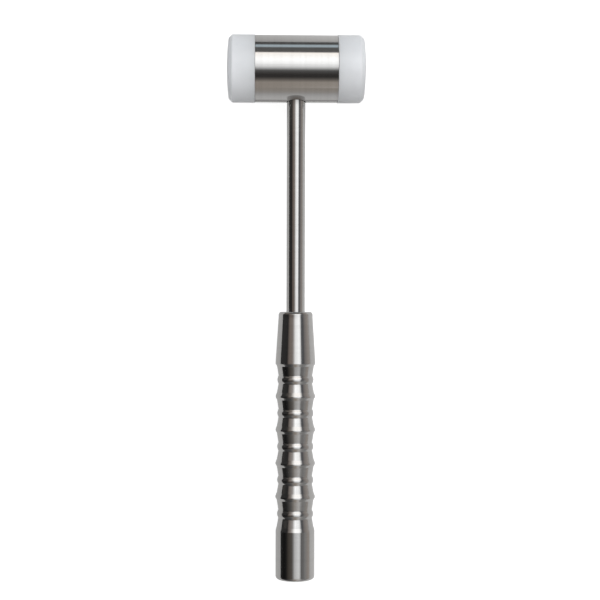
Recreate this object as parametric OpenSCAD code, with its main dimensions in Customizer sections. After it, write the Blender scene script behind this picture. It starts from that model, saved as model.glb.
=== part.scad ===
// Soft face hammer: a steel barrel with a screwed nylon face at each end, on a steel shaft and grip.
// It lies flat: X runs along the head, Y from the grip's end to the head, and Z is up.

/* [Head barrel] */
// Diameter of the steel barrel
barrel_d = 29.1; // [26:0.1:36]
// Length of the barrel between the two faces
barrel_len = 36; // [34:0.1:46]
// Bevel round each end of the barrel
barrel_bevel = 0.15; // [0.1:0.05:1]
// Width of the relief round the shaft's hole
shaft_relief_w = 0.35; // [0.1:0.05:0.6]
// Depth of that relief from the outside of the barrel
shaft_relief_depth = 1.3; // [0.8:0.1:2]

/* [Striking faces] */
// Diameter of each nylon face
face_d = 29.4; // [26:0.1:36]
// Length of each nylon face
face_len = 12; // [11:0.1:16]
// Depth of the crown of the striking face, from its flat middle to its bevel
face_crown = 0.6; // [0.2:0.1:1]
// Diameter of that flat middle
face_flat_d = 8; // [4:0.5:16]
// Bevel round the striking edge
face_bevel = 1.6; // [0.8:0.1:2.5]
// Rounding of the corners of that bevel
face_corner_r = 0.8; // [0.2:0.1:1.2]
// Bevel round the edge that meets the barrel
face_back_bevel = 0.1; // [0.1:0.05:0.6]

/* [Face studs] */
// Outside diameter of the thread
stud_d = 8; // [6:0.1:9]
// Length of thread inside the barrel
stud_reach = 10; // [7:0.1:11]
// Bevel at the tip of the thread
stud_bevel = 0.8; // [0.2:0.1:1.2]
// Hexagon head of the stud, across its flats
stud_head_flats = 13; // [11:0.1:16]
// Thickness of that hexagon head
stud_head_h = 5.3; // [3:0.1:6]
// Nylon between that head and the barrel
stud_cover = 2; // [1:0.1:3]
// Depth of the threaded hole past the tip of the stud
socket_spare = 1; // [0.5:0.1:2]

/* [Lock rings] */
// Thickness of the rubber ring round each stud
ring_section = 1.8; // [1:0.1:2.5]

/* [Shaft] */
// Diameter of the round shaft
shaft_d = 8; // [6:0.1:10]
// Bare length of the shaft between barrel and grip
shaft_bare_len = 91.35; // [60:0.05:140]
// Length of shaft past the axis of the barrel
shaft_past_axis = 6; // [4:0.1:10]
// Length of shaft inside the grip
shaft_in_grip = 30; // [22:0.5:40]
// Bevel round each end of the shaft
shaft_bevel = 0.5; // [0.1:0.1:1]
// Diameter of the pin through barrel and shaft
cross_pin_d = 4; // [2:0.1:4.5]
// Bevel round each end of that pin
cross_pin_bevel = 0.3; // [0.1:0.1:0.6]

/* [Grip collar] */
// Diameter of the front of the collar
collar_front_d = 14.9; // [13:0.05:17]
// Length of the bevel round the front edge
collar_bevel_len = 1; // [0.4:0.1:1.6]
// Depth of that bevel
collar_bevel_depth = 0.5; // [0.2:0.1:1]
// Rounding of the corners of that bevel
collar_corner_r = 0.6; // [0.1:0.1:0.8]
// Length of the front of the collar that doesn't taper
collar_band_len = 2.4; // [2:0.1:5]
// Length from the front of the collar to the middle of the first ridge
collar_len = 22.2; // [14:0.1:40]
// Diameter of the collar at the first ridge
collar_back_d = 17.45; // [16.5:0.05:20]

/* [Grip ridges] */
// Diameter over the ridges
ridge_d = 17.3; // [16.5:0.1:20]
// Distance from one ridge to the next
ridge_pitch = 14.55; // [11:0.05:20]
// Number of hollows along the grip
hollow_count = 5; // [3:1:7]
// Height of a ridge above its shoulders
ridge_h = 0.62; // [0.4:0.02:1]
// Length of the flat top of a ridge
ridge_top_len = 0.6; // [0.2:0.1:1]
// Length of the side of a ridge that faces the head
ridge_front_len = 1.6; // [0.8:0.1:2]
// Length of the steeper side that faces the grip's end
ridge_back_len = 1.1; // [0.6:0.1:2]
// Rounding of the edges of that flat top
ridge_crest_r = 0.5; // [0.1:0.1:1.2]
// Rounding of the foot of a ridge
ridge_foot_r = 0.3; // [0.1:0.1:1]
// Diameter at the narrowest part of a hollow
waist_d = 14.7; // [13.6:0.05:15.5]
// Height of the bead in the middle of a hollow
bead_h = 0.53; // [0.48:0.01:0.6]
// Width of that bead from foot to foot
bead_w = 3.5; // [3.2:0.1:3.8]
// Slope of the bead's sides, in degrees
bead_slope = 25; // [24:1:28]
// Rounding at the feet of the bead
bead_foot_r = 0.8; // [0.1:0.1:1.2]

/* [Grip end] */
// Diameter of the plain end of the grip
end_d = 17; // [16.5:0.1:20]
// Length of that plain end
end_len = 21.3; // [15:0.05:35]
// Rounding of its edge
end_corner_r = 1.4; // [0.3:0.1:2]

/* [Grip fixing] */
// Thread diameter of the screw inside the grip
screw_d = 5; // [4:0.1:5.4]
// Length of that screw under its head
screw_len = 14; // [10:0.5:20]
// Depth of the tapped hole past the tip of the screw
tapped_spare = 1; // [0.5:0.1:3]
// Diameter of the screw's head
screw_head_d = 8.5; // [7:0.1:9.5]
// Thickness of the screw's head
screw_head_h = 5; // [4:0.1:6]
// Hexagon socket in the screw's head, across its flats
screw_key_flats = 4; // [3:0.1:4.5]
// Depth of that hexagon socket
screw_key_depth = 2.5; // [1.5:0.1:3]
// Outside diameter of the spring washer
washer_d = 9; // [8:0.1:9.6]
// Thickness of the spring washer
washer_t = 1.2; // [0.8:0.1:1.6]
// Width of the split in the spring washer
washer_split = 1; // [0.5:0.1:1.5]
// Thickness of the wall that the screw pulls against
web_t = 4; // [3:0.1:6]
// Length of the plug that closes the grip
plug_len = 12; // [6:0.5:18]
// Bevel round each end of the plug
plug_bevel = 0.4; // [0.1:0.1:0.8]

/* [Fits] */
// Gap round pieces that are fixed in one another
fixed_gap = 0.02; // [0.01:0.01:0.05]
// Gap round the studs, the rings and the screw's shank
free_gap = 0.1; // [0.05:0.01:0.15]
// Gap round the screw's head and its washer
head_gap = 0.5; // [0.3:0.1:0.6]

/* [Hidden] */

$fn = 96;
// How far a cut runs past the surface that it leaves
overrun = 1;
// Steps in one rounded corner, in the arc of a bead and in the crown of a face
corner_steps = 5;
bead_steps = 10;
crown_steps = 6;
// Most of a side that the rounding of one of its corners may take
rounding_share = 0.45;

// Places along the handle, measured from the axis of the barrel towards the grip's end
grip_start = barrel_d / 2 + shaft_bare_len;
shaft_end = grip_start + shaft_in_grip;
screw_seat = shaft_end + web_t;
grip_len = collar_len + hollow_count * ridge_pitch + end_len;
grip_end = grip_start + grip_len;

// The widest pieces set where the axes lie above the bench and from the middle of the length
head_r = max(barrel_d, face_d) / 2;
axis_h = max(head_r, collar_front_d / 2, collar_back_d / 2, ridge_d / 2, end_d / 2);
head_y = (head_r + grip_end) / 2 - head_r;

// Sizes that follow from the fits
socket_depth = stud_reach + socket_spare;
cross_pin_len = barrel_len - 2 * socket_depth;
ring_mean_d = stud_d + 2 * free_gap + ring_section;
ring_seat_d = ring_mean_d + ring_section + 2 * free_gap;
ring_seat_depth = ring_section + 2 * fixed_gap;
screw_hole_d = screw_d + 2 * free_gap;
tapped_depth = screw_len - web_t - washer_t + tapped_spare;
bore_d = max(screw_head_d, washer_d) + 2 * head_gap;
plug_d = bore_d - 2 * fixed_gap;

steel = "silver";
nylon = "whitesmoke";
rubber = "dimgray";

// Outlines for turning: radius first, then the place along the axis

function unit(v) = v / norm(v);

// The corner b between a and c, as an arc of radius r that is limited by the two sides
function round_corner(a, b, c, r) =
    let (
        to_a = unit(a - b),
        to_c = unit(c - b),
        half = acos(max(-1, min(1, to_a * to_c))) / 2,
        back = min(r / tan(half), rounding_share * min(norm(a - b), norm(c - b))),
        centre = b + unit(to_a + to_c) * back / cos(half),
        from = b + to_a * back - centre,
        to = b + to_c * back - centre,
        angle = atan2(from.y, from.x),
        swing = atan2(from.x * to.y - from.y * to.x, from * to)
    )
    [for (i = [0 : corner_steps])
        let (t = angle + swing * i / corner_steps)
        centre + norm(from) * [cos(t), sin(t)]];

// Corners given as [radius, place, rounding], with each rounded corner drawn as its arc
function rounded(corners) =
    let (points = [for (p = corners) [p[0], p[1]]], last = len(corners) - 1)
    [for (i = [0 : last])
        each (i == 0 || i == last || corners[i][2] == 0
            ? [points[i]]
            : round_corner(points[i - 1], points[i], points[i + 1], corners[i][2]))];

// A round bar from one place to another, with a bevel at each end
function bar_outline(d, from, to, bevel) = [
    [0, from],
    [d / 2 - bevel, from],
    [d / 2, from + bevel],
    [d / 2, to - bevel],
    [d / 2 - bevel, to],
    [0, to],
];

// One bead, whose middle lies at the given place: an arc on top, straight sides and rounded feet
function bead_corners(middle) =
    let (
        waist_r = waist_d / 2,
        arc_r = (bead_w / 2 * tan(bead_slope) - bead_h) * cos(bead_slope) / (1 - cos(bead_slope))
    )
    concat(
        [[waist_r, middle - bead_w / 2, bead_foot_r]],
        [for (i = [0 : bead_steps])
            let (t = bead_slope * (2 * i / bead_steps - 1))
            [waist_r + bead_h - arc_r * (1 - cos(t)), middle + arc_r * sin(t), 0]],
        [[waist_r, middle + bead_w / 2, bead_foot_r]]
    );

// One hollow of the grip between two crests: the far edge of one, and the near edge of the other
function hollow_corners(from, to) =
    let (shoulder_r = ridge_d / 2 - ridge_h)
    concat(
        [[shoulder_r, from + ridge_back_len, ridge_foot_r]],
        bead_corners((from + to) / 2),
        [[shoulder_r, to - ridge_front_len, ridge_foot_r]]
    );

// The crest of one ridge, whose middle lies at the given place
function crest_corners(middle) = [
    for (side = [-1, 1]) [ridge_d / 2, middle + side * ridge_top_len / 2, ridge_crest_r]
];

function grip_outline() = rounded(concat(
    [[0, 0, 0]],
    [[collar_front_d / 2 - collar_bevel_depth, 0, collar_corner_r]],
    [[collar_front_d / 2, collar_bevel_len, collar_corner_r]],
    [[collar_front_d / 2, collar_band_len, 0]],
    [[collar_back_d / 2, collar_len + ridge_top_len / 2, ridge_crest_r]],
    [for (i = [0 : hollow_count - 1])
        let (
            middle = collar_len + i * ridge_pitch,
            next = middle + ridge_pitch,
            last = i == hollow_count - 1
        )
        each concat(
            hollow_corners(middle + ridge_top_len / 2, last ? next : next - ridge_top_len / 2),
            last ? [] : crest_corners(next)
        )],
    [[end_d / 2, grip_len - end_len, ridge_crest_r]],
    [[end_d / 2, grip_len, end_corner_r]],
    [[0, grip_len, 0]]
));

module turned(outline) {
    rotate_extrude() polygon(outline);
}

// A hexagon bar standing on the bench plane of its own frame
module hexagon(flats, h) {
    cylinder(d = flats / cos(30), h = h, $fn = 6);
}

// Frames of the pieces

// The middle of the head, with the local Z along the barrel
module along_head() {
    translate([0, head_y, axis_h]) rotate([0, 90, 0]) children();
}

// One end of the barrel, with the local Z pointing outwards: side is -1 on the left, 1 on the right
module at_barrel_end(side) {
    translate([side * barrel_len / 2, head_y, axis_h]) rotate([0, side * 90, 0]) children();
}

// A place along the handle, with the local Z pointing towards the grip's end
module along_handle(place) {
    translate([0, head_y - place, axis_h]) rotate([90, 0, 0]) children();
}

// Head

module head_barrel() {
    color(steel) difference() {
        along_head() turned(bar_outline(barrel_d, -barrel_len / 2, barrel_len / 2, barrel_bevel));
        for (side = [-1, 1]) at_barrel_end(side) barrel_end_cuts();
        along_handle(-shaft_past_axis)
            cylinder(d = shaft_d + 2 * fixed_gap, h = shaft_past_axis + barrel_d / 2 + overrun);
        along_handle(barrel_d / 2 - shaft_relief_depth)
            cylinder(d = shaft_d + 2 * (fixed_gap + shaft_relief_w), h = shaft_relief_depth + overrun);
        cross_pin_hole();
    }
}

// The threaded hole for a stud, and the seat of its rubber ring
module barrel_end_cuts() {
    translate([0, 0, -socket_depth])
        cylinder(d = stud_d + 2 * free_gap, h = socket_depth + overrun);
    translate([0, 0, -ring_seat_depth])
        cylinder(d = ring_seat_d, h = ring_seat_depth + overrun);
}

module cross_pin_hole() {
    along_head()
        cylinder(d = cross_pin_d + 2 * fixed_gap, h = cross_pin_len + 2 * overrun, center = true);
}

module head_cross_pin() {
    color(steel) along_head()
        turned(bar_outline(cross_pin_d, -cross_pin_len / 2, cross_pin_len / 2, cross_pin_bevel));
}

// Faces, each drawn from the end of the barrel outwards

// The striking face from its bevel to the edge of its flat middle
function crown_corners() =
    let (flat_r = face_flat_d / 2, width = face_d / 2 - face_bevel - flat_r)
    [for (i = [0 : crown_steps])
        let (out_share = 1 - i / crown_steps)
        [
            flat_r + out_share * width,
            face_len - face_crown * out_share * out_share,
            i == 0 ? face_corner_r : 0
        ]];

module face_form() {
    r = face_d / 2;
    color(nylon) difference() {
        turned(rounded(concat(
            [[0, 0, 0]],
            [[r - face_back_bevel, 0, 0]],
            [[r, face_back_bevel, 0]],
            [[r, face_len - face_crown - face_bevel, face_corner_r]],
            crown_corners(),
            [[0, face_len, 0]]
        )));
        translate([0, 0, -overrun])
            cylinder(d = stud_d + 2 * fixed_gap, h = stud_cover + 2 * overrun);
        translate([0, 0, stud_cover - fixed_gap])
            hexagon(stud_head_flats + 2 * fixed_gap, stud_head_h + 2 * fixed_gap);
    }
}

module stud_form() {
    color(steel) {
        turned(bar_outline(stud_d, -stud_reach, stud_cover + stud_head_h / 2, stud_bevel));
        translate([0, 0, stud_cover]) hexagon(stud_head_flats, stud_head_h);
    }
}

module ring_form() {
    color(rubber) translate([0, 0, -ring_section / 2 - fixed_gap])
        rotate_extrude() translate([ring_mean_d / 2, 0]) circle(d = ring_section);
}

module left_face() at_barrel_end(-1) face_form();
module left_face_stud() at_barrel_end(-1) stud_form();
module left_lock_ring() at_barrel_end(-1) ring_form();
module right_face() at_barrel_end(1) face_form();
module right_face_stud() at_barrel_end(1) stud_form();
module right_lock_ring() at_barrel_end(1) ring_form();

// Handle

module shaft() {
    color(steel) difference() {
        along_handle(0) turned(bar_outline(shaft_d, -shaft_past_axis, shaft_end, shaft_bevel));
        cross_pin_hole();
        along_handle(shaft_end - tapped_depth)
            cylinder(d = screw_d + 2 * fixed_gap, h = tapped_depth + overrun);
    }
}

module grip() {
    color(steel) difference() {
        along_handle(grip_start) turned(grip_outline());
        along_handle(grip_start - overrun)
            cylinder(d = shaft_d + 2 * fixed_gap, h = shaft_in_grip + overrun);
        along_handle(shaft_end - overrun) cylinder(d = screw_hole_d, h = web_t + 2 * overrun);
        along_handle(screw_seat) cylinder(d = bore_d, h = grip_end - screw_seat + overrun);
    }
}

module grip_screw() {
    seat = screw_seat + washer_t;
    color(steel) difference() {
        union() {
            along_handle(seat - screw_len) cylinder(d = screw_d, h = screw_len + screw_head_h / 2);
            along_handle(seat) cylinder(d = screw_head_d, h = screw_head_h);
        }
        along_handle(seat + screw_head_h - screw_key_depth)
            hexagon(screw_key_flats, screw_key_depth + overrun);
    }
}

module grip_lock_washer() {
    color(steel) along_handle(screw_seat) difference() {
        cylinder(d = washer_d, h = washer_t);
        translate([0, 0, -overrun]) cylinder(d = screw_hole_d, h = washer_t + 2 * overrun);
        translate([0, -washer_split / 2, -overrun])
            cube([washer_d, washer_split, washer_t + 2 * overrun]);
    }
}

module end_plug() {
    color(steel) along_handle(0) turned(bar_outline(plug_d, grip_end - plug_len, grip_end, plug_bevel));
}

head_barrel();
head_cross_pin();
left_face();
left_face_stud();
left_lock_ring();
right_face();
right_face_stud();
right_lock_ring();
shaft();
grip();
grip_screw();
grip_lock_washer();
end_plug();
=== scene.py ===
"""Soft face hammer: its finishes, threads and fine turned grip, with a floor, a studio and a camera."""

import math

import bmesh
import bpy
from mathutils import Matrix, Vector


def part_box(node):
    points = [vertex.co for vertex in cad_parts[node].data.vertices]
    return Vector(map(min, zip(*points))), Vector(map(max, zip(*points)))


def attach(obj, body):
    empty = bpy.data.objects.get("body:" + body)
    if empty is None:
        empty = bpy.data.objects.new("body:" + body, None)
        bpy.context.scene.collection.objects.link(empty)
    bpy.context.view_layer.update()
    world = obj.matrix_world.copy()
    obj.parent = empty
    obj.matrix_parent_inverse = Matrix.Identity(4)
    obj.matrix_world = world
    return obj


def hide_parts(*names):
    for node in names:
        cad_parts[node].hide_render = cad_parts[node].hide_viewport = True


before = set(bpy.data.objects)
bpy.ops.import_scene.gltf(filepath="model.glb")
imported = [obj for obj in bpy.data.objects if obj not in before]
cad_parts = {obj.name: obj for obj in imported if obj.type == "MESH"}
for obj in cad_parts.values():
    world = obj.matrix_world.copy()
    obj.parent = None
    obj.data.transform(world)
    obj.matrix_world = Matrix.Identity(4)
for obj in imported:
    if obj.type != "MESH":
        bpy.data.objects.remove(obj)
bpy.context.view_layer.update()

# One millimetre, in the scene's metres
MM = 0.001

# Sizes of the hammer, in millimetres, under the names that the solids' source gives them
SHAFT_D = 8.0
SHAFT_IN_GRIP = 30.0
COLLAR_FRONT_D = 14.9
COLLAR_BEVEL_LEN = 1.0
COLLAR_BEVEL_DEPTH = 0.5
COLLAR_CORNER_R = 0.6
COLLAR_BAND_LEN = 2.4
COLLAR_LEN = 22.2
COLLAR_BACK_D = 17.45
RIDGE_D = 17.3
RIDGE_PITCH = 14.55
HOLLOW_COUNT = 5
RIDGE_H = 0.62
RIDGE_TOP_LEN = 0.6
RIDGE_FRONT_LEN = 1.6
RIDGE_BACK_LEN = 1.1
RIDGE_CREST_R = 0.5
RIDGE_FOOT_R = 0.3
WAIST_D = 14.7
BEAD_H = 0.53
BEAD_W = 3.5
BEAD_SLOPE = math.radians(25)
BEAD_FOOT_R = 0.8
END_D = 17.0
END_LEN = 21.3
END_CORNER_R = 1.4
WEB_T = 4.0
SCREW_HOLE_D = 5.2
BORE_D = 10.0
STUD_D = 8.0
STUD_REACH = 10.0
STUD_BEVEL = 0.8
STUD_HEAD_FLATS = 13.0
STUD_HEAD_H = 5.3
STUD_COVER = 2.0
FIXED_GAP = 0.02
ROUNDING_SHARE = 0.45

# Sizes of the finer forms that only the visual model has
THREAD_PITCH = 1.25
HALF_PITCH_SHARE = 0.5
THREAD_DEPTH_SHARE = 0.6134
THREAD_CREST_SHARE = 0.125
THREAD_ROOT_SHARE = 0.25
THREAD_NECK = 2.0
HOLE_BEVEL = 0.15

# How finely the visual model is divided
CORNER_STEPS = 8
BEAD_STEPS = 16
LONGEST_STEP = 0.6
GRIP_SIDES = 128
STUD_SIDES = 72
THREAD_STEPS = 14
SMOOTH_ANGLE = math.radians(32)

# Places in the frame, in millimetres
grip_low, grip_high = (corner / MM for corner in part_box("grip"))
barrel_low, barrel_high = (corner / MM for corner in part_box("head_barrel"))
face_low, face_high = (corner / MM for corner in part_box("left_face"))
HEAD_Y = (barrel_low.y + barrel_high.y) / 2
AXIS_H = (barrel_low.z + barrel_high.z) / 2
HANDLE_AXIS = (0.0, 0.0, AXIS_H)
HEAD_AXIS = (0.0, HEAD_Y, AXIS_H)
BARREL_HALF = (barrel_high.x - barrel_low.x) / 2
FACE_R = (face_high.y - face_low.y) / 2
HALF_LENGTH = (barrel_high.y - grip_low.y) / 2
GRIP_LEN = COLLAR_LEN + HOLLOW_COUNT * RIDGE_PITCH + END_LEN


def add_object(name, data, matrix):
    """A new object in the scene."""
    added = bpy.data.objects.new(name, data)
    added.matrix_world = matrix
    bpy.context.scene.collection.objects.link(added)
    return added


# Shader nodes

# Sockets of a Mix node that hold colours
MIX_INPUTS = (6, 7)
MIX_OUTPUT = 2


def set_inputs(tree, node, values):
    """Gives a node's sockets their values, or links from other nodes' outputs."""
    for key, value in values.items():
        if isinstance(value, bpy.types.NodeSocket):
            tree.links.new(value, node.inputs[key])
        else:
            node.inputs[key].default_value = value


def add_node(tree, kind, values=None, **settings):
    """A new node with its settings, and with the values and links of its sockets."""
    node = tree.nodes.new(kind)
    for name, value in settings.items():
        setattr(node, name, value)
    set_inputs(tree, node, values or {})
    return node


def maths(tree, operation, first, second=0.0):
    """One operation on numbers."""
    return add_node(tree, "ShaderNodeMath", {0: first, 1: second}, operation=operation).outputs[0]


def vector_maths(tree, operation, values):
    """The outputs of one operation on vectors."""
    return add_node(tree, "ShaderNodeVectorMath", values, operation=operation).outputs


def remap(tree, value, low, high, to_low=0.0, to_high=1.0):
    """A value spread from one range to another, and held at the ends."""
    sockets = {"Value": value, "From Min": low, "From Max": high, "To Min": to_low, "To Max": to_high}
    return add_node(tree, "ShaderNodeMapRange", sockets).outputs["Result"]


def opaque(tone):
    """A grey level or a colour, with full alpha."""
    return (*tone, 1.0) if isinstance(tone, tuple) else (tone, tone, tone, 1.0)


def ramp(tree, value, stops):
    """Tones that follow a value: each stop is a place and a grey level or a colour."""
    low = stops[0][0]
    high = stops[-1][0]
    node = add_node(tree, "ShaderNodeValToRGB", {"Fac": remap(tree, value, low, high)})
    elements = node.color_ramp.elements
    while len(elements) < len(stops):
        elements.new(1.0)
    for element, (place, tone) in zip(elements, stops):
        element.position = (place - low) / (high - low)
        element.color = opaque(tone)
    return node.outputs["Color"]


def blend(tree, factor, *colours):
    """A mix of two colours, each of them a link or a plain colour."""
    sockets = {0: factor}
    for socket, colour in zip(MIX_INPUTS, colours):
        sockets[socket] = colour if isinstance(colour, bpy.types.NodeSocket) else opaque(colour)
    return add_node(tree, "ShaderNodeMix", sockets, data_type="RGBA").outputs[MIX_OUTPUT]


def noise_in_space(tree, point, grain):
    """Noise at a point, for a grain that is given as its scale and detail."""
    scale, detail = grain
    sockets = {"Vector": point, "Scale": scale, "Detail": detail}
    return add_node(tree, "ShaderNodeTexNoise", sockets, noise_dimensions="3D").outputs[0]


def noise_on_line(tree, place, grain):
    """Noise at a place on a line, for a grain that is given as its scale and detail."""
    scale, detail = grain
    sockets = {"W": place, "Scale": scale, "Detail": detail}
    return add_node(tree, "ShaderNodeTexNoise", sockets, noise_dimensions="1D").outputs[0]


def bump(tree, strength, depth, height):
    """A normal for a relief of a depth in millimetres."""
    sockets = {"Strength": strength, "Distance": depth * MM, "Height": height}
    return add_node(tree, "ShaderNodeBump", sockets).outputs[0]


def own_point(tree):
    """The point in the object's own coordinates, in millimetres."""
    metres = add_node(tree, "ShaderNodeTexCoord").outputs["Object"]
    return vector_maths(tree, "SCALE", {0: metres, "Scale": 1 / MM})["Vector"]


def point_from(tree, origin):
    """The point as seen from an origin on the axis of its piece, in millimetres."""
    return vector_maths(tree, "SUBTRACT", {0: own_point(tree), 1: origin})["Vector"]


def part_of(tree, vector, axis):
    """One coordinate of a vector."""
    return add_node(tree, "ShaderNodeSeparateXYZ", {0: vector}).outputs[axis]


def ring_place(tree, point, axis):
    """The place along an axis plus the distance from it, so that flat ends have rings too."""
    across = tuple(0.0 if letter == axis else 1.0 for letter in "XYZ")
    flat = vector_maths(tree, "MULTIPLY", {0: point, 1: across})["Vector"]
    radius = vector_maths(tree, "LENGTH", {0: flat})["Value"]
    return maths(tree, "ADD", part_of(tree, point, axis), radius)


def empty_material(name):
    """A material without nodes, and its tree."""
    material = bpy.data.materials.new(name)
    material.use_nodes = True
    material.node_tree.nodes.clear()
    return material, material.node_tree


def show(tree, shader):
    """Makes a shader the one that the material shows."""
    add_node(tree, "ShaderNodeOutputMaterial", {"Surface": shader.outputs[0]})


def new_material(name):
    """A material with one Principled shader: the material, its tree and the shader."""
    material, tree = empty_material(name)
    shader = add_node(tree, "ShaderNodeBsdfPrincipled")
    show(tree, shader)
    return material, tree, shader


# Materials

# A grain is the scale of a noise, to the millimetre, and its detail. A roughness is its lowest and its
# highest value. The ranges are those that one noise, or the sum of two for gloss, mostly keeps to.
NOISE_RANGE = (0.3, 0.7)
NARROW_RANGE = (0.35, 0.65)
GLOSS_RANGE = (0.6, 1.4)

STEEL_DARK = (0.495, 0.485, 0.475)
STEEL_LIGHT = (0.52, 0.51, 0.5)
STEEL_ROUGHNESS = (0.08, 0.14)
STEEL_ANISOTROPY = 0.3
QUARTER_TURN = 0.25
FINE_RINGS = (5.0, 3.0)
WIDE_RINGS = (0.45, 2.0)
STEEL_SCUFFS = (0.35, 4.0)
RING_CONTRAST = (0.8, 1.2)
STEEL_BUMP = 0.12
STEEL_BUMP_DEPTH = 0.004

FIXING_DARK = (0.42, 0.42, 0.43)
FIXING_LIGHT = (0.54, 0.54, 0.55)
FIXING_ROUGHNESS = (0.24, 0.34)
FIXING_MARKS = (3.0, 3.0)
FIXING_GRAIN = (1.4, 4.0)

NYLON_WHITE = (0.82, 0.835, 0.86)
NYLON_SHADE = (0.77, 0.785, 0.81)
# Painted shade at the steel: its colour, and stops of distance from the steel in millimetres and how much
# of the plain white shows there
NYLON_PAINTED_SHADE = (0.67, 0.685, 0.705)
NYLON_PAINTED_SHADE_STOPS = [(0, 0.0), (3, 0.5), (9, 1.0)]
NYLON_ROUGHNESS = (0.28, 0.38)
NYLON_IOR = 1.53
NYLON_SCATTER_SHARE = 0.4
NYLON_SCATTER_DEPTH = 2.0
NYLON_RINGS = (2.5, 3.0)
NYLON_MOTTLE = (0.12, 3.0)
NYLON_SCUFFS = (0.9, 5.0)
NYLON_SCUFF_SHARE = 0.6
NYLON_BUMP = 0.15
NYLON_BUMP_DEPTH = 0.02

RUBBER_BLACK = (0.022, 0.022, 0.023)
RUBBER_GREY = (0.045, 0.045, 0.047)
RUBBER_ROUGHNESS = (0.6, 0.75)
RUBBER_BLOOM = (1.2, 4.0)


def turned_steel(name, axis, origin):
    """Bright turned steel: fine rings round its axis, slow bands of tone, and faint scuffs from use."""
    material, tree, shader = new_material(name)
    point = point_from(tree, origin)
    along = ring_place(tree, point, axis)
    fine_rings = noise_on_line(tree, along, FINE_RINGS)
    wide_rings = noise_on_line(tree, along, WIDE_RINGS)
    scuffs = noise_in_space(tree, point, STEEL_SCUFFS)
    contrast = remap(tree, fine_rings, *NOISE_RANGE, *RING_CONTRAST)
    tone = maths(tree, "MULTIPLY", wide_rings, contrast)
    gloss = maths(tree, "ADD", fine_rings, scuffs)
    tangent = add_node(tree, "ShaderNodeTangent", direction_type="RADIAL", axis=axis)
    set_inputs(tree, shader, {
        "Base Color": blend(tree, remap(tree, tone, *NOISE_RANGE), STEEL_DARK, STEEL_LIGHT),
        "Metallic": 1.0,
        "Roughness": remap(tree, gloss, *GLOSS_RANGE, *STEEL_ROUGHNESS),
        "Anisotropic": STEEL_ANISOTROPY,
        "Anisotropic Rotation": QUARTER_TURN,
        "Tangent": tangent.outputs[0],
        "Normal": bump(tree, STEEL_BUMP, STEEL_BUMP_DEPTH, fine_rings),
    })
    return material


def fixing_steel(name, axis, origin):
    """Plain machined steel of screws, pins and studs, a little duller and cooler than turned steel."""
    material, tree, shader = new_material(name)
    point = point_from(tree, origin)
    marks = noise_on_line(tree, ring_place(tree, point, axis), FIXING_MARKS)
    grain = noise_in_space(tree, point, FIXING_GRAIN)
    set_inputs(tree, shader, {
        "Base Color": blend(tree, grain, FIXING_DARK, FIXING_LIGHT),
        "Metallic": 1.0,
        "Roughness": remap(tree, marks, *NOISE_RANGE, *FIXING_ROUGHNESS),
    })
    return material


def white_nylon(name):
    """Milky turned nylon with faint rings and scuffs in its satin gloss, and painted shade that darkens
    it towards the steel.
    """
    material, tree, shader = new_material(name)
    point = point_from(tree, HEAD_AXIS)
    rings = noise_on_line(tree, ring_place(tree, point, "X"), NYLON_RINGS)
    mottle = noise_in_space(tree, point, NYLON_MOTTLE)
    scuffs = noise_in_space(tree, point, NYLON_SCUFFS)
    from_middle = maths(tree, "ABSOLUTE", part_of(tree, point, "X"))
    from_steel = maths(tree, "SUBTRACT", from_middle, BARREL_HALF)
    white = blend(tree, remap(tree, mottle, *NARROW_RANGE), NYLON_SHADE, NYLON_WHITE)
    relief = maths(tree, "ADD", rings, maths(tree, "MULTIPLY", scuffs, NYLON_SCUFF_SHARE))
    set_inputs(tree, shader, {
        # Painted shade: the base colour darkens towards the steel barrel
        "Base Color": blend(tree, ramp(tree, from_steel, NYLON_PAINTED_SHADE_STOPS), NYLON_PAINTED_SHADE, white),
        "Roughness": remap(tree, scuffs, *NOISE_RANGE, *NYLON_ROUGHNESS),
        "IOR": NYLON_IOR,
        "Subsurface Weight": NYLON_SCATTER_SHARE,
        "Subsurface Radius": (1.0, 1.0, 1.0),
        "Subsurface Scale": NYLON_SCATTER_DEPTH * MM,
        "Normal": bump(tree, NYLON_BUMP, NYLON_BUMP_DEPTH, relief),
    })
    return material


def black_rubber(name):
    """Matte black rubber with a fine bloom."""
    material, tree, shader = new_material(name)
    bloom = noise_in_space(tree, point_from(tree, HEAD_AXIS), RUBBER_BLOOM)
    set_inputs(tree, shader, {
        "Base Color": blend(tree, remap(tree, bloom, *NARROW_RANGE), RUBBER_BLACK, RUBBER_GREY),
        "Roughness": remap(tree, bloom, *NOISE_RANGE, *RUBBER_ROUGHNESS),
    })
    return material


barrel_steel = turned_steel("barrel_steel", "X", HEAD_AXIS)
handle_steel = turned_steel("handle_steel", "Y", HANDLE_AXIS)
stud_steel = fixing_steel("stud_steel", "X", HEAD_AXIS)
screw_steel = fixing_steel("screw_steel", "Y", HANDLE_AXIS)
nylon = white_nylon("nylon")
rubber = black_rubber("rubber")

NODE_MATERIALS = {
    "head_barrel": barrel_steel,
    "head_cross_pin": stud_steel,
    "left_face": nylon,
    "right_face": nylon,
    "left_lock_ring": rubber,
    "right_lock_ring": rubber,
    "shaft": handle_steel,
    "end_plug": handle_steel,
    "grip_screw": screw_steel,
    "grip_lock_washer": screw_steel,
}
for node_name, node_material in NODE_MATERIALS.items():
    for material_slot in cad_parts[node_name].material_slots:
        material_slot.material = node_material


# Turned and threaded meshes

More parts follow.
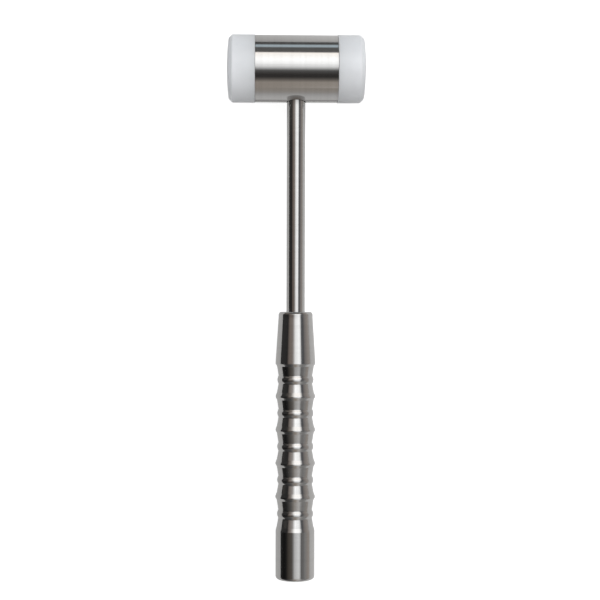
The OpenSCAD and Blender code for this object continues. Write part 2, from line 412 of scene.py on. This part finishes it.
def round_corner(before, corner, after, radius):
    """The corner as an arc that its two sides touch, limited by the lengths of those sides."""
    to_before = (before - corner).normalized()
    to_after = (after - corner).normalized()
    half = to_before.angle(to_after) / 2
    shorter = min((before - corner).length, (after - corner).length)
    back = min(radius / math.tan(half), ROUNDING_SHARE * shorter)
    centre = corner + (to_before + to_after).normalized() * back / math.cos(half)
    start = corner + to_before * back - centre
    end = corner + to_after * back - centre
    swing = math.atan2(start.x * end.y - start.y * end.x, start.dot(end))
    turns = [Matrix.Rotation(swing * step / CORNER_STEPS, 2) for step in range(CORNER_STEPS + 1)]
    return [centre + turn @ start for turn in turns]


def rounded(corners):
    """An outline from corners given as radius, place and rounding."""
    points = [Vector(corner[:2]) for corner in corners]
    outline = [points[0]]
    for before, corner, after, (_, _, radius) in zip(points, points[1:], points[2:], corners[1:]):
        outline += round_corner(before, corner, after, radius) if radius else [corner]
    return outline + [points[-1]]


def divided(outline):
    """The same outline with its long sides divided, so that each face shades as its own side does."""
    points = []
    for start, end in zip(outline, outline[1:]):
        steps = max(1, math.ceil((end - start).length / LONGEST_STEP))
        points += [start.lerp(end, step / steps) for step in range(steps)]
    return points + [outline[-1]]


def bead_corners(middle):
    """One bead of the grip: an arc on top, straight sides and rounded feet."""
    waist_r = WAIST_D / 2
    rise = BEAD_W / 2 * math.tan(BEAD_SLOPE) - BEAD_H
    arc_r = rise * math.cos(BEAD_SLOPE) / (1 - math.cos(BEAD_SLOPE))
    turns = [BEAD_SLOPE * (2 * step / BEAD_STEPS - 1) for step in range(BEAD_STEPS + 1)]
    top_r = waist_r + BEAD_H
    return [
        (waist_r, middle - BEAD_W / 2, BEAD_FOOT_R),
        *((top_r - arc_r * (1 - math.cos(turn)), middle + arc_r * math.sin(turn), 0) for turn in turns),
        (waist_r, middle + BEAD_W / 2, BEAD_FOOT_R),
    ]


def hollow_corners(start, end):
    """One hollow of the grip between two crests: the far edge of one, and the near edge of the other."""
    shoulder_r = RIDGE_D / 2 - RIDGE_H
    return [
        (shoulder_r, start + RIDGE_BACK_LEN, RIDGE_FOOT_R),
        *bead_corners((start + end) / 2),
        (shoulder_r, end - RIDGE_FRONT_LEN, RIDGE_FOOT_R),
    ]


def ridges_and_hollows():
    """The corners of the grip from the foot of the collar to the plain end."""
    corners = []
    half_top = RIDGE_TOP_LEN / 2
    for index in range(HOLLOW_COUNT - 1):
        middle = COLLAR_LEN + index * RIDGE_PITCH
        crest = middle + RIDGE_PITCH
        corners += hollow_corners(middle + half_top, crest - half_top)
        corners += [(RIDGE_D / 2, crest + side * half_top, RIDGE_CREST_R) for side in (-1, 1)]
    last_middle = COLLAR_LEN + (HOLLOW_COUNT - 1) * RIDGE_PITCH
    return corners + hollow_corners(last_middle + half_top, GRIP_LEN - END_LEN)


def grip_outline():
    """The grip's outside from the shaft's hole to the bore, and then the inside back to the start."""
    shaft_hole_r = SHAFT_D / 2 + FIXED_GAP
    bore_r = BORE_D / 2
    screw_hole_r = SCREW_HOLE_D / 2
    web_end = SHAFT_IN_GRIP + WEB_T
    corners = [
        (shaft_hole_r, HOLE_BEVEL, 0),
        (shaft_hole_r + HOLE_BEVEL, 0, 0),
        (COLLAR_FRONT_D / 2 - COLLAR_BEVEL_DEPTH, 0, COLLAR_CORNER_R),
        (COLLAR_FRONT_D / 2, COLLAR_BEVEL_LEN, COLLAR_CORNER_R),
        (COLLAR_FRONT_D / 2, COLLAR_BAND_LEN, 0),
        (COLLAR_BACK_D / 2, COLLAR_LEN + RIDGE_TOP_LEN / 2, RIDGE_CREST_R),
        *ridges_and_hollows(),
        (END_D / 2, GRIP_LEN - END_LEN, RIDGE_CREST_R),
        (END_D / 2, GRIP_LEN, END_CORNER_R),
        (bore_r + HOLE_BEVEL, GRIP_LEN, 0),
        (bore_r, GRIP_LEN - HOLE_BEVEL, 0),
        (bore_r, web_end, 0),
        (screw_hole_r, web_end, 0),
        (screw_hole_r, SHAFT_IN_GRIP, 0),
        (shaft_hole_r, SHAFT_IN_GRIP, 0),
        (shaft_hole_r, HOLE_BEVEL, 0),
    ]
    return divided(rounded(corners))[:-1]


def ringed_mesh(name, rings, looped):
    """A closed mesh through rings of points, whose last ring meets the first or whose ends are capped."""
    sides = len(rings[0])
    mesh = bpy.data.meshes.new(name)
    shape = bmesh.new()
    grid = [[shape.verts.new(point * MM) for point in ring] for ring in rings]
    pairs = zip(grid, grid[1:] + grid[:1]) if looped else zip(grid, grid[1:])
    for near, far in pairs:
        for side in range(sides):
            after = (side + 1) % sides
            shape.faces.new((near[side], near[after], far[after], far[side]))
    if not looped:
        for ring, points in ((grid[0], rings[0]), (grid[-1], rings[-1])):
            middle = shape.verts.new(sum(points, Vector((0, 0, 0))) / sides * MM)
            for side in range(sides):
                shape.faces.new((ring[side], ring[(side + 1) % sides], middle))
    bmesh.ops.recalc_face_normals(shape, faces=shape.faces)
    shape.to_mesh(mesh)
    shape.free()
    mesh.shade_smooth()
    mesh.set_sharp_from_angle(angle=SMOOTH_ANGLE)
    return add_object(name, mesh, Matrix())


def grip_piece():
    """The grip, turned from its outline."""
    turns = [math.tau * side / GRIP_SIDES for side in range(GRIP_SIDES)]
    rings = []
    for radius, place in grip_outline():
        ring = [
            Vector((radius * math.cos(turn), grip_high.y - place, AXIS_H + radius * math.sin(turn)))
            for turn in turns
        ]
        rings.append(ring)
    return ringed_mesh("turned_grip", rings, looped=True)


def thread_depth(place, turn):
    """How far the thread is cut at a place along the stud and a turn round it."""
    phase = (place / THREAD_PITCH - turn / math.tau) % 1.0
    from_crest = abs(phase - HALF_PITCH_SHARE)
    crest_half = THREAD_CREST_SHARE / 2
    root_start = HALF_PITCH_SHARE - THREAD_ROOT_SHARE / 2
    cut = (from_crest - crest_half) / (root_start - crest_half)
    run_out = (-THREAD_NECK - place) / THREAD_PITCH
    return THREAD_DEPTH_SHARE * THREAD_PITCH * min(max(cut, 0), 1) * min(max(run_out, 0), 1)


def hexagon_r(turn):
    """Distance from the middle of the stud's head to its edge at a turn round it."""
    from_flat = (turn + math.pi / 6) % (math.pi / 3) - math.pi / 6
    return STUD_HEAD_FLATS / 2 / math.cos(from_flat)


def stud_piece(side, name):
    """A stud with its thread inside the barrel and its hexagon head inside the face."""
    turns = [math.tau * index / STUD_SIDES for index in range(STUD_SIDES)]
    stud_r = STUD_D / 2
    head_end = STUD_COVER + STUD_HEAD_H

    def ring(place, radius_at):
        """The points round the stud at a place from the barrel's end."""
        points = [(radius_at(turn), turn) for turn in turns]
        x = side * (BARREL_HALF + place)
        return [
            Vector((x, HEAD_Y + side * radius * math.cos(turn), AXIS_H + radius * math.sin(turn)))
            for radius, turn in points
        ]

    def threaded(place):
        """How the radius goes round the thread at a place, bevelled at the tip."""
        tip_r = stud_r - STUD_BEVEL + (place + STUD_REACH)
        return lambda turn: min(stud_r - thread_depth(place, turn), tip_r)

    step = THREAD_PITCH / THREAD_STEPS
    count = round((STUD_REACH - THREAD_NECK) / step)
    places = [-STUD_REACH + index * step for index in range(count + 1)]
    rings = [ring(place, threaded(place)) for place in places]
    rings.append(ring(STUD_COVER, lambda turn: stud_r))
    rings.append(ring(STUD_COVER, hexagon_r))
    rings.append(ring(head_end, hexagon_r))
    return ringed_mesh(name, rings, looped=False)


def dress(piece, material, body, node):
    """Gives a new piece its material and the body that it moves with, and hides the node that it stands
    for.
    """
    piece.data.materials.append(material)
    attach(piece, body)
    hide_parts(node)


dress(grip_piece(), handle_steel, "hammer_frame", "grip")
left_stud = stud_piece(-1, "left_threaded_stud")
dress(left_stud, stud_steel, "left_screw_face", "left_face_stud")
right_stud = stud_piece(1, "right_threaded_stud")
dress(right_stud, stud_steel, "right_screw_face", "right_face_stud")


# Stage: a floor that the faces and the grip's end both rest on, and cards that only reflections show

WHITE = (1.0, 1.0, 1.0)
FLOOR_SIZE = 4000.0
FLOOR_COLOUR = (0.45, 0.45, 0.45)
FLOOR_ROUGHNESS = 0.9

# The floor's own glow: for the camera, and for reflections near the hammer, far from it and at its left
SEEN_LIFT = 0.87
NEAR_LIFT = 0.36
FAR_LIFT = 0.15
NEAR_FLOOR = 45.0
FAR_FLOOR = 220.0
LEFT_LIFT_SHARE = 0.7
LEFT_FLOOR = -15.0

# Two dark cards lie just above the floor: one that starts beyond the head's axis, and one at the left
CARD_LIFT = 0.3
BEYOND_HALF_WIDTH = 450.0
BEYOND_START = 500.0
BEYOND_END = 1900.0
BEYOND_COLOUR = (0.14, 0.15, 0.16)
LEFT_CARD_LOW = (-1900.0, -900.0)
LEFT_CARD_HIGH = (-140.0, 600.0)
LEFT_CARD_COLOUR = (0.04, 0.04, 0.04)

# The dark bar hangs over the barrel. Each stop is a place from the barrel's axis towards +Y, and how
# clear the bar is there.
BAR_HEIGHT = 17.0
BAR_WIDTH = 38.0
BAR_COLOUR = (0.05, 0.047, 0.046)
BAR_STOPS = [
    (-14.8, 1.0),
    (-12.7, 0.75),
    (-11.3, 0.45),
    (-10.0, 0.23),
    (-8.2, 0.0),
    (-6.5, 0.0),
    (-3.8, 0.12),
    (-3.2, 0.33),
    (-2.6, 0.66),
    (-2.0, 0.84),
    (-0.9, 1.0),
]

# The front card stands before the barrel and faces it. Each stop is a height from the barrel's axis, and
# the card's tone there.
FRONT_DISTANCE = 22.0
FRONT_WIDTH = 60.0
FRONT_STOPS = [
    (-13.5, 0.25),
    (-8.0, 0.42),
    (-3.5, 0.68),
    (1.6, 0.65),
    (4.8, 0.55),
    (7.9, (0.45, 0.43, 0.41)),
    (11.0, (0.42, 0.385, 0.35)),
    (13.5, (0.42, 0.385, 0.35)),
]


def floor_material():
    """A pale floor, lifted to white for the camera, and less for reflections and transmitted light."""
    material, tree, shader = new_material("floor_white")
    point = own_point(tree)
    beside = part_of(tree, point, "X")
    from_middle = maths(tree, "SUBTRACT", part_of(tree, point, "Y"), HALF_LENGTH)
    past_end = maths(tree, "SUBTRACT", maths(tree, "ABSOLUTE", from_middle), HALF_LENGTH)
    beyond = maths(tree, "MAXIMUM", past_end, 0.0)
    square = maths(tree, "ADD", maths(tree, "POWER", beside, 2.0), maths(tree, "POWER", beyond, 2.0))
    distance = maths(tree, "SQRT", square)
    side_share = remap(tree, beside, LEFT_FLOOR, -LEFT_FLOOR, LEFT_LIFT_SHARE, 1.0)
    distance_lift = remap(tree, distance, NEAR_FLOOR, FAR_FLOOR, NEAR_LIFT, FAR_LIFT)
    faded_lift = maths(tree, "MULTIPLY", side_share, distance_lift)
    rays = add_node(tree, "ShaderNodeLightPath").outputs
    seen = maths(tree, "MULTIPLY", rays["Is Camera Ray"], SEEN_LIFT)
    reflected = maths(tree, "MAXIMUM", rays["Is Glossy Ray"], rays["Is Transmission Ray"])
    lift = maths(tree, "MAXIMUM", seen, maths(tree, "MULTIPLY", reflected, faded_lift))
    set_inputs(tree, shader, {
        "Base Color": opaque(FLOOR_COLOUR),
        "Roughness": FLOOR_ROUGHNESS,
        "Specular IOR Level": 0.0,
        "Emission Color": opaque(WHITE),
        "Emission Strength": lift,
    })
    return material


def glow(tree, colour):
    """A shader of one tone, whatever light falls on it."""
    return add_node(tree, "ShaderNodeEmission", {"Color": colour})


def partly_clear(tree, clear_share, shader):
    """A shader that lets rays through where the share is 1."""
    clear = add_node(tree, "ShaderNodeBsdfTransparent")
    sockets = {0: clear_share, 1: shader.outputs[0], 2: clear.outputs[0]}
    return add_node(tree, "ShaderNodeMixShader", sockets)


def even_card_material(name, colour):
    """A card of one even tone."""
    material, tree = empty_material(name)
    show(tree, glow(tree, opaque(colour)))
    return material


def soft_card_material(name, colour, stops):
    """A card that is clear in part, by the place along its own Y in millimetres."""
    material, tree = empty_material(name)
    clear_share = ramp(tree, part_of(tree, own_point(tree), "Y"), stops)
    show(tree, partly_clear(tree, clear_share, glow(tree, opaque(colour))))
    return material


def one_sided_material(name, stops):
    """A card with a clear back, whose front has tones by the place along its own Y in millimetres."""
    material, tree = empty_material(name)
    tone = ramp(tree, part_of(tree, own_point(tree), "Y"), stops)
    back = add_node(tree, "ShaderNodeNewGeometry").outputs["Backfacing"]
    show(tree, partly_clear(tree, back, glow(tree, tone)))
    return material


def plane(name, width, length, matrix, material):
    """A flat rectangle of the stage, in millimetres."""
    half_width = width / 2 * MM
    half_length = length / 2 * MM
    corners = [(-half_width, -half_length), (half_width, -half_length)]
    corners += [(half_width, half_length), (-half_width, half_length)]
    mesh = bpy.data.meshes.new(name)
    mesh.from_pydata([(x, y, 0) for x, y in corners], [], [(0, 1, 2, 3)])
    mesh.materials.append(material)
    board = add_object(name, mesh, matrix)
    return board


def reflected_plane(name, width, length, matrix, material):
    """A rectangle of the stage that only reflections show."""
    board = plane(name, width, length, matrix, material)
    board.visible_camera = False
    board.visible_diffuse = False
    board.visible_shadow = False
    board.visible_transmission = False
    board.visible_volume_scatter = False


def stops_length(stops):
    """The length of a card whose middle is at place 0 and that holds all its stops."""
    return 2 * max(abs(place) for place, _ in stops)


# The floor touches the faces from below and passes under the grip's end
end_low = Vector((grip_low.y + END_CORNER_R, AXIS_H - END_D / 2))
to_head = Vector((HEAD_Y, AXIS_H)) - end_low
floor_tilt = math.atan2(to_head.y, to_head.x) - math.asin(FACE_R / to_head.length)
floor_turn = Matrix.Rotation(floor_tilt, 4, "X")
floor_place = Matrix.Translation(Vector((0, end_low.x, end_low.y)) * MM)
plane("floor", FLOOR_SIZE, FLOOR_SIZE, floor_place @ floor_turn, floor_material())


def floor_card(name, low, high, colour):
    """A card just above the floor, between two corners that are given in X and Y."""
    middle = (Vector(low) + Vector(high)) / 2
    size = Vector(high) - Vector(low)
    height = end_low.y + (middle.y - end_low.x) * math.tan(floor_tilt) + CARD_LIFT
    place = Matrix.Translation(Vector((*middle, height)) * MM)
    reflected_plane(name, size.x, size.y, place @ floor_turn, even_card_material(name, colour))


beyond_low = (-BEYOND_HALF_WIDTH, HEAD_Y + BEYOND_START)
beyond_high = (BEYOND_HALF_WIDTH, HEAD_Y + BEYOND_END)
floor_card("dark_beyond", beyond_low, beyond_high, BEYOND_COLOUR)
floor_card("dark_left", LEFT_CARD_LOW, LEFT_CARD_HIGH, LEFT_CARD_COLOUR)

bar_matrix = Matrix.Translation(Vector((0, HEAD_Y, AXIS_H + BAR_HEIGHT)) * MM)
bar_material = soft_card_material("soft_black", BAR_COLOUR, BAR_STOPS)
reflected_plane("dark_bar", BAR_WIDTH, stops_length(BAR_STOPS), bar_matrix, bar_material)

front_place = Matrix.Translation(Vector((0, HEAD_Y - FRONT_DISTANCE, AXIS_H)) * MM)
front_matrix = front_place @ Matrix.Rotation(math.pi, 4, "Z") @ Matrix.Rotation(math.pi / 2, 4, "X")
front_material = one_sided_material("front_tones", FRONT_STOPS)
reflected_plane("front_card", FRONT_WIDTH, stops_length(FRONT_STOPS), front_matrix, front_material)


# Light: a studio drawn in the world by direction

# Across is the angle from overhead towards +X, and along is the angle towards +Y, in degrees. The room's
# high, middle and low tones go by the angle across, and its far tones by the angle along.
HIGH_TONES = [
    (-90, 0.05),
    (-60, 0.04),
    (-50, 0.035),
    (-46, (0.13, 0.11, 0.1)),
    (-42, (0.21, 0.175, 0.155)),
    (-34, (0.28, 0.235, 0.21)),
    (-15, (0.31, 0.27, 0.245)),
    (38, (0.15, 0.16, 0.17)),
    (46, (0.13, 0.13, 0.14)),
    (51, 0.17),
    (57, (0.28, 0.26, 0.255)),
    (75, (0.42, 0.385, 0.36)),
    (90, (0.53, 0.5, 0.47)),
]
MIDDLE_TONES = [
    (-90, 0.03),
    (-70, 0.01),
    (-55, 0.02),
    (-40, (0.08, 0.07, 0.06)),
    (-22, (0.13, 0.12, 0.11)),
    (38, 0.2),
    (52, 0.25),
    (58, 0.33),
    (75, (0.4, 0.37, 0.35)),
    (90, (0.52, 0.47, 0.42)),
]
LOW_TONES = [
    (-90, 0.1),
    (-80, 0.05),
    (-60, 0.07),
    (-40, 0.12),
    (-30, 0.18),
    (-15, (0.37, 0.34, 0.31)),
    (-5, (0.42, 0.375, 0.335)),
    (5, (0.47, 0.425, 0.38)),
    (27, (0.76, 0.74, 0.72)),
    (35, 0.68),
    (45, 0.4),
    (65, 0.31),
    (80, 0.36),
    (90, 0.45),
]
FAR_TONES = [
    (50, 0.16),
    (68, 0.16),
    (71.5, (0.62, 0.74, 0.82)),
    (79, (0.62, 0.74, 0.82)),
    (82.5, 0.13),
    (90, 0.12),
]

# Where the middle, low and far tones take over, by the angle along
MIDDLE_SHARE = [(-8, 1.0), (3, 0.0)]
LOW_SHARE = [(-30, 1.0), (-20, 0.0)]
FAR_SHARE = [(46.5, 0.0), (50, 1.0)]

# A glow at the left, and its share by both angles
LEFT_GLOW = (0.22, 0.2, 0.18)
LEFT_GLOW_ACROSS = [(-40, 1.0), (-10, 0.0)]
LEFT_GLOW_ALONG = [(7.4, 0.0), (8, 0.5), (8.4, 0.5), (9, 0.0), (32, 0.0), (38, 1.0), (46, 1.0)]

# The box light: its share by the angle across, with other such shares high and at the top, the angles
# along where those take over, and its share and colours by the angle along
BOX_ACROSS = [
    (-20, 0.0),
    (-12, 0.2),
    (-8, 0.45),
    (-4, 0.67),
    (0, 0.76),
    (10, 0.91),
    (17, 1.0),
    (22, 1.0),
    (29, 0.68),
    (34, 0.0),
]
BOX_ACROSS_HIGH = [
    (-49, 0.0),
    (-41, 0.03),
    (-29, 0.065),
    (-17, 0.165),
    (-6, 0.68),
    (0, 0.92),
    (3, 0.92),
    (6, 0.84),
    (20, 0.83),
    (29, 0.64),
    (36, 0.15),
    (40, 0.0),
]
BOX_ACROSS_TOP = [
    (-46, 0.0),
    (-29, 0.07),
    (-17, 0.46),
    (-8, 0.88),
    (-2, 0.98),
    (5, 1.0),
    (29, 1.0),
    (36, 0.6),
    (46, 0.0),
]
BOX_HIGH_SHARE = [(6, 0.0), (9, 1.0)]
BOX_TOP_SHARE = [(18, 0.0), (28, 1.0)]
BOX_ALONG = [
    (-30, 0.0),
    (-25, 0.17),
    (-18, 0.38),
    (-8, 0.47),
    (0, 0.74),
    (5, 0.79),
    (9, 0.88),
    (12, 0.88),
    (15, 0.95),
    (22, 1.0),
    (28, 0.92),
    (36, 0.84),
    (50, 0.82),
]
BOX_COLOURS = [
    (-10, (2.15, 2.21, 2.26)),
    (20, (2.17, 2.21, 2.23)),
    (36, (2.2, 2.19, 2.16)),
    (48, (2.25, 2.15, 2.05)),
]


def room_tone(tree, across, along):
    """The room without its box light."""
    tone = ramp(tree, across, HIGH_TONES)
    tone = blend(tree, ramp(tree, along, MIDDLE_SHARE), tone, ramp(tree, across, MIDDLE_TONES))
    tone = blend(tree, ramp(tree, along, LOW_SHARE), tone, ramp(tree, across, LOW_TONES))
    glow_across = ramp(tree, across, LEFT_GLOW_ACROSS)
    glow_along = ramp(tree, along, LEFT_GLOW_ALONG)
    return blend(tree, maths(tree, "MULTIPLY", glow_across, glow_along), tone, LEFT_GLOW)


def box_share(tree, across, along):
    """How much of the box light shows in a direction."""
    share = ramp(tree, across, BOX_ACROSS)
    share = blend(tree, ramp(tree, along, BOX_HIGH_SHARE), share, ramp(tree, across, BOX_ACROSS_HIGH))
    share = blend(tree, ramp(tree, along, BOX_TOP_SHARE), share, ramp(tree, across, BOX_ACROSS_TOP))
    return maths(tree, "MULTIPLY", share, ramp(tree, along, BOX_ALONG))


def studio_world():
    """The studio, which the camera itself sees as plain white."""
    world = bpy.data.worlds.new("studio")
    world.use_nodes = True
    tree = world.node_tree
    tree.nodes.clear()
    direction = add_node(tree, "ShaderNodeTexCoord").outputs["Generated"]
    parts = add_node(tree, "ShaderNodeSeparateXYZ", {0: direction}).outputs
    across = maths(tree, "DEGREES", maths(tree, "ARCTAN2", parts["X"], parts["Z"]))
    along = maths(tree, "DEGREES", maths(tree, "ARCSINE", parts["Y"]))
    room = room_tone(tree, across, along)
    lit = blend(tree, box_share(tree, across, along), room, ramp(tree, along, BOX_COLOURS))
    tone = blend(tree, ramp(tree, along, FAR_SHARE), lit, ramp(tree, along, FAR_TONES))
    seen = add_node(tree, "ShaderNodeLightPath").outputs["Is Camera Ray"]
    background = add_node(tree, "ShaderNodeBackground", {"Color": blend(tree, seen, tone, WHITE)})
    add_node(tree, "ShaderNodeOutputWorld", {"Surface": background.outputs[0]})
    return world


bpy.context.scene.world = studio_world()

# Two broad soft lamps, which reflections don't show: one over the head and a low fill from the left
LAMP_SIZE = 500.0
LAMP_COLOUR = (0.96, 0.985, 1.0)
LAMPS = {
    "soft_lamp": (Vector((150, 350, 700)), 2.09),
    "fill_lamp": (Vector((-640, -420, 150)), 1.79),
}


def add_lamp(name, place, power):
    """A round lamp that faces the head, with its place in millimetres and its power in watts."""
    data = bpy.data.lights.new(name, "AREA")
    data.shape = "DISK"
    data.size = LAMP_SIZE * MM
    data.energy = power
    data.color = LAMP_COLOUR
    facing = (Vector(HEAD_AXIS) - place).to_track_quat("-Z", "Y").to_matrix().to_4x4()
    lamp = add_object(name, data, Matrix.Translation(place * MM) @ facing)
    lamp.visible_glossy = False


for lamp_name, (lamp_place, lamp_power) in LAMPS.items():
    add_lamp(lamp_name, lamp_place, lamp_power)


# Camera: straight above the hammer, a little to the left, with the head at the top of the picture

CAMERA_TARGET = Vector((1.9, 3.03, AXIS_H))
CAMERA_DISTANCE = 610.0
CAMERA_YAW = math.radians(1.5)
CAMERA_ROLL = math.radians(0.15)
HALF_VIEW = math.radians(12.1)


def add_camera():
    """The camera, which looks down on its target."""
    data = bpy.data.cameras.new("camera")
    data.lens = data.sensor_width / 2 / math.tan(HALF_VIEW)
    back = Vector((-math.sin(CAMERA_YAW), 0, math.cos(CAMERA_YAW)))
    right = Vector((math.cos(CAMERA_YAW), 0, math.sin(CAMERA_YAW)))
    facing = Matrix((right, back.cross(right), back)).transposed().to_4x4()
    place = Matrix.Translation((CAMERA_TARGET + back * CAMERA_DISTANCE) * MM)
    return add_object("camera", data, place @ facing @ Matrix.Rotation(CAMERA_ROLL, 4, "Z"))


bpy.context.scene.camera = add_camera()
bpy.context.scene.view_settings.view_transform = "Standard"
